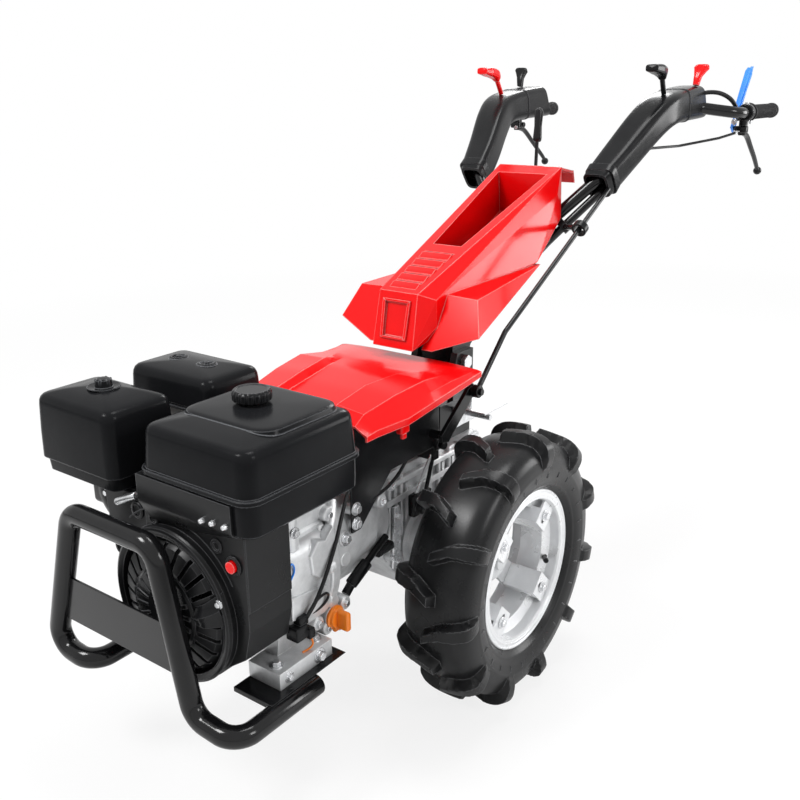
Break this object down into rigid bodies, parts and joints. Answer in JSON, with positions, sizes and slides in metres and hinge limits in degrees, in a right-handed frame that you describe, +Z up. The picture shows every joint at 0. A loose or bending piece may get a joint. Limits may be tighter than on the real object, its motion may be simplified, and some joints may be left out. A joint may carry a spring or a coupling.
{
  "type": "hand tractor",
  "caption": "Two-wheeled walking tractor with a front petrol engine, tube guard, red hood and console, lugged tyres and a tilting handlebar for an operator on foot.",
  "frame": {"origin": "midpoint between the two hand grips, where the operator holds the machine", "axes": "+X to the machine's left, -Y forward (engine end), +Z up; floor 1.006 m below the origin"},
  "size_m": [0.664, 1.815, 1.1154],
  "materials": {
    "cast_aluminium": "as-cast, lightly oiled",
    "cast_iron": "machined faces, dark",
    "black_plastic": "fine grain",
    "black_steel": "satin powder coat",
    "gloss_black_steel": "gloss powder coat",
    "engine_black": "satin paint",
    "tank_black": "satin paint",
    "red_plastic": "gloss",
    "dark_steel": "heat-dulled",
    "orange_plastic": "gloss",
    "blue_plastic": "gloss",
    "zinc_steel": "zinc plated",
    "grip_rubber": "moulded grip",
    "cable_black": "sheathed",
    "tyre": "moulded rubber",
    "rim_silver": "silver paint",
    "hub_steel": "silver paint"
  },
  "bodies": {
    "chassis": {"gearbox_case": "cast_aluminium", "bell_housing": "cast_aluminium", "hitch_flange": "cast_iron", "gear_filler_cap": "black_plastic", "brake_linkage": "black_steel", "engine_block": "cast_aluminium", "engine_cylinder": "cast_aluminium", "fan_housing": "engine_black", "recoil_starter": "engine_black", "stop_button": "red_plastic", "fuel_tank": "tank_black", "fuel_cap": "black_plastic", "air_filter": "black_plastic", "carburettor": "cast_aluminium", "muffler": "dark_steel", "muffler_cover": "engine_black", "oil_filler_cap": "orange_plastic", "engine_wiring": "black_plastic", "engine_cradle": "black_steel", "front_guard": "gloss_black_steel", "guard_plate": "gloss_black_steel", "hood": "red_plastic", "hood_support": "black_steel", "column_bracket": "black_steel", "tilt_bolt": "zinc_steel", "hitch_plate": "zinc_steel", "shift_arm": "black_steel"},
    "handlebar": {"tilt_head": "black_steel", "console": "red_plastic", "left_bar": "gloss_black_steel", "right_bar": "gloss_black_steel", "left_sleeve": "black_steel", "right_sleeve": "black_steel", "left_black_lever": "black_plastic", "left_red_lever": "red_plastic", "right_red_lever": "red_plastic", "right_black_lever": "black_plastic", "left_grip": "grip_rubber", "right_grip": "grip_rubber", "left_hand_lever": "black_steel", "right_hand_lever": "black_steel", "lock_lever_blue": "blue_plastic", "throttle_lever": "black_plastic", "clutch_cable": "cable_black", "column_lock_handle": "black_plastic", "rod_guide": "black_plastic"},
    "selector_rod": {"selector_rod": "black_steel"},
    "left_wheel": {"left_tyre": "tyre", "left_rim": "rim_silver", "left_hub": "hub_steel"},
    "right_wheel": {"right_tyre": "tyre", "right_rim": "rim_silver", "right_hub": "hub_steel"}
  },
  "joints": [
    {"name": "handlebar_tilt", "type": "hinge", "parent": "chassis", "child": "handlebar", "pos_m": [0, -0.932, -0.456], "axis": [1, 0, 0], "range_deg": [-10, 5]},
    {"name": "selector_rod_swing", "type": "hinge", "parent": "chassis", "child": "selector_rod", "pos_m": [0.152, -1.042, -0.47], "axis": [1, 0, 0], "range_deg": [-8.4, 4.3]},
    {"name": "left_wheel_spin", "type": "hinge", "parent": "chassis", "child": "left_wheel", "pos_m": [0.262, -1.122, -0.752], "axis": [1, 0, 0], "continuous": true},
    {"name": "right_wheel_spin", "type": "hinge", "parent": "chassis", "child": "right_wheel", "pos_m": [-0.262, -1.122, -0.752], "axis": [1, 0, 0], "continuous": true}
  ],
  "couplings": [
    {"joint": "selector_rod_swing", "follows": "handlebar_tilt", "ratio": 0.827}
  ]
}
